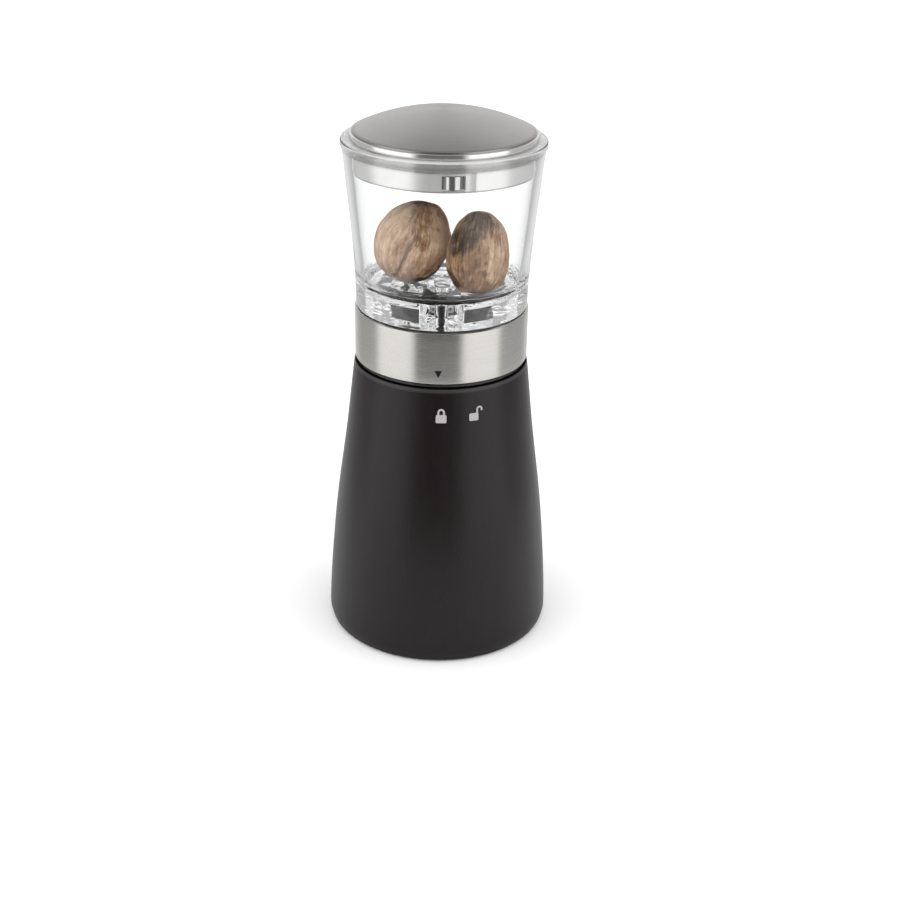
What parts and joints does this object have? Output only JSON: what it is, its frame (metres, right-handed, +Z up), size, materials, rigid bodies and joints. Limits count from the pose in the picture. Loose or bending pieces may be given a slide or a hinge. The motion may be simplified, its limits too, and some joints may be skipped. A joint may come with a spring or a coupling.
{
  "type": "nutmeg mill",
  "caption": "Hand-turned nutmeg mill: flared wooden base with a grating disc in its foot, steel lock collar, clear hopper and domed steel lid.",
  "frame": {"origin": "centre of the foot, on the surface the mill stands on", "axes": "+Z up along the turning axis, -Y is the front with the padlock marks and the arrow"},
  "size_m": [0.068, 0.068, 0.16],
  "materials": {
    "stained_wood": "dark charcoal stained beech, satin lacquer",
    "brushed_band": "finely brushed round the band",
    "satin_steel": "satin, brushed across the dome",
    "polished_steel": "bright polished steel",
    "stainless_steel": "bright stainless steel",
    "spring_steel": "bright spring wire",
    "clear_acrylic": "clear polished acrylic",
    "black_plastic": "black moulded plastic",
    "white_plastic": "natural white acetal",
    "nutmeg": "dry wrinkled seed, grey brown to tan",
    "grey_print": "light grey pad print",
    "black_print": "black pad print"
  },
  "bodies": {
    "base": {"wood_body": "stained_wood", "foot_ring": "black_plastic", "foot_screw_1": "stainless_steel", "foot_screw_2": "stainless_steel", "foot_screw_3": "stainless_steel", "grating_disc": "stainless_steel", "chamber_liner": "black_plastic", "bayonet_socket": "black_plastic", "socket_screw_1": "stainless_steel", "socket_screw_2": "stainless_steel", "socket_screw_3": "stainless_steel"},
    "collar": {"collar_band": "brushed_band", "collar_core": "black_plastic", "thrust_washer": "white_plastic"},
    "hopper": {"hopper": "clear_acrylic", "drive_hub": "black_plastic", "hub_screw_1": "stainless_steel", "hub_screw_2": "stainless_steel", "hub_screw_3": "stainless_steel", "drive_shaft": "stainless_steel", "shaft_pin": "stainless_steel", "hub_nut": "stainless_steel", "stop_washer": "stainless_steel", "stop_screw": "stainless_steel", "retaining_clip": "stainless_steel", "nutmeg_left": "nutmeg", "nutmeg_right": "nutmeg", "pressure_spring": "spring_steel"},
    "presser": {"claw_carrier": "black_plastic", "sleeve_cap": "white_plastic", "claw_plate": "stainless_steel", "claw_rivet_1": "stainless_steel", "claw_rivet_2": "stainless_steel", "claw_rivet_3": "stainless_steel"},
    "lid": {"lid_cap": "satin_steel", "lid_skirt": "polished_steel", "lid_catch_1": "polished_steel", "lid_catch_2": "polished_steel", "lid_catch_3": "polished_steel", "lid_stud": "stainless_steel", "lid_nut": "stainless_steel"}
  },
  "joints": [
    {"name": "collar_lock", "type": "hinge", "parent": "base", "child": "collar", "pos_m": [0, 0, 0.08], "axis": [0, 0, 1], "range_deg": [0, 22]},
    {"name": "hopper_turn", "type": "hinge", "parent": "collar", "child": "hopper", "pos_m": [0, 0, 0.1], "axis": [0, 0, 1], "continuous": true},
    {"name": "carrier_slide", "type": "slide", "parent": "hopper", "child": "presser", "axis": [0, 0, 1], "range_m": [0, 0.025], "stiffness_N_per_m": 250, "springref_m": -0.02, "deforming": ["pressure_spring"]},
    {"name": "lid_lift", "type": "slide", "parent": "hopper", "child": "lid", "axis": [0, 0, 1], "range_m": [0, 0.05]}
  ]
}
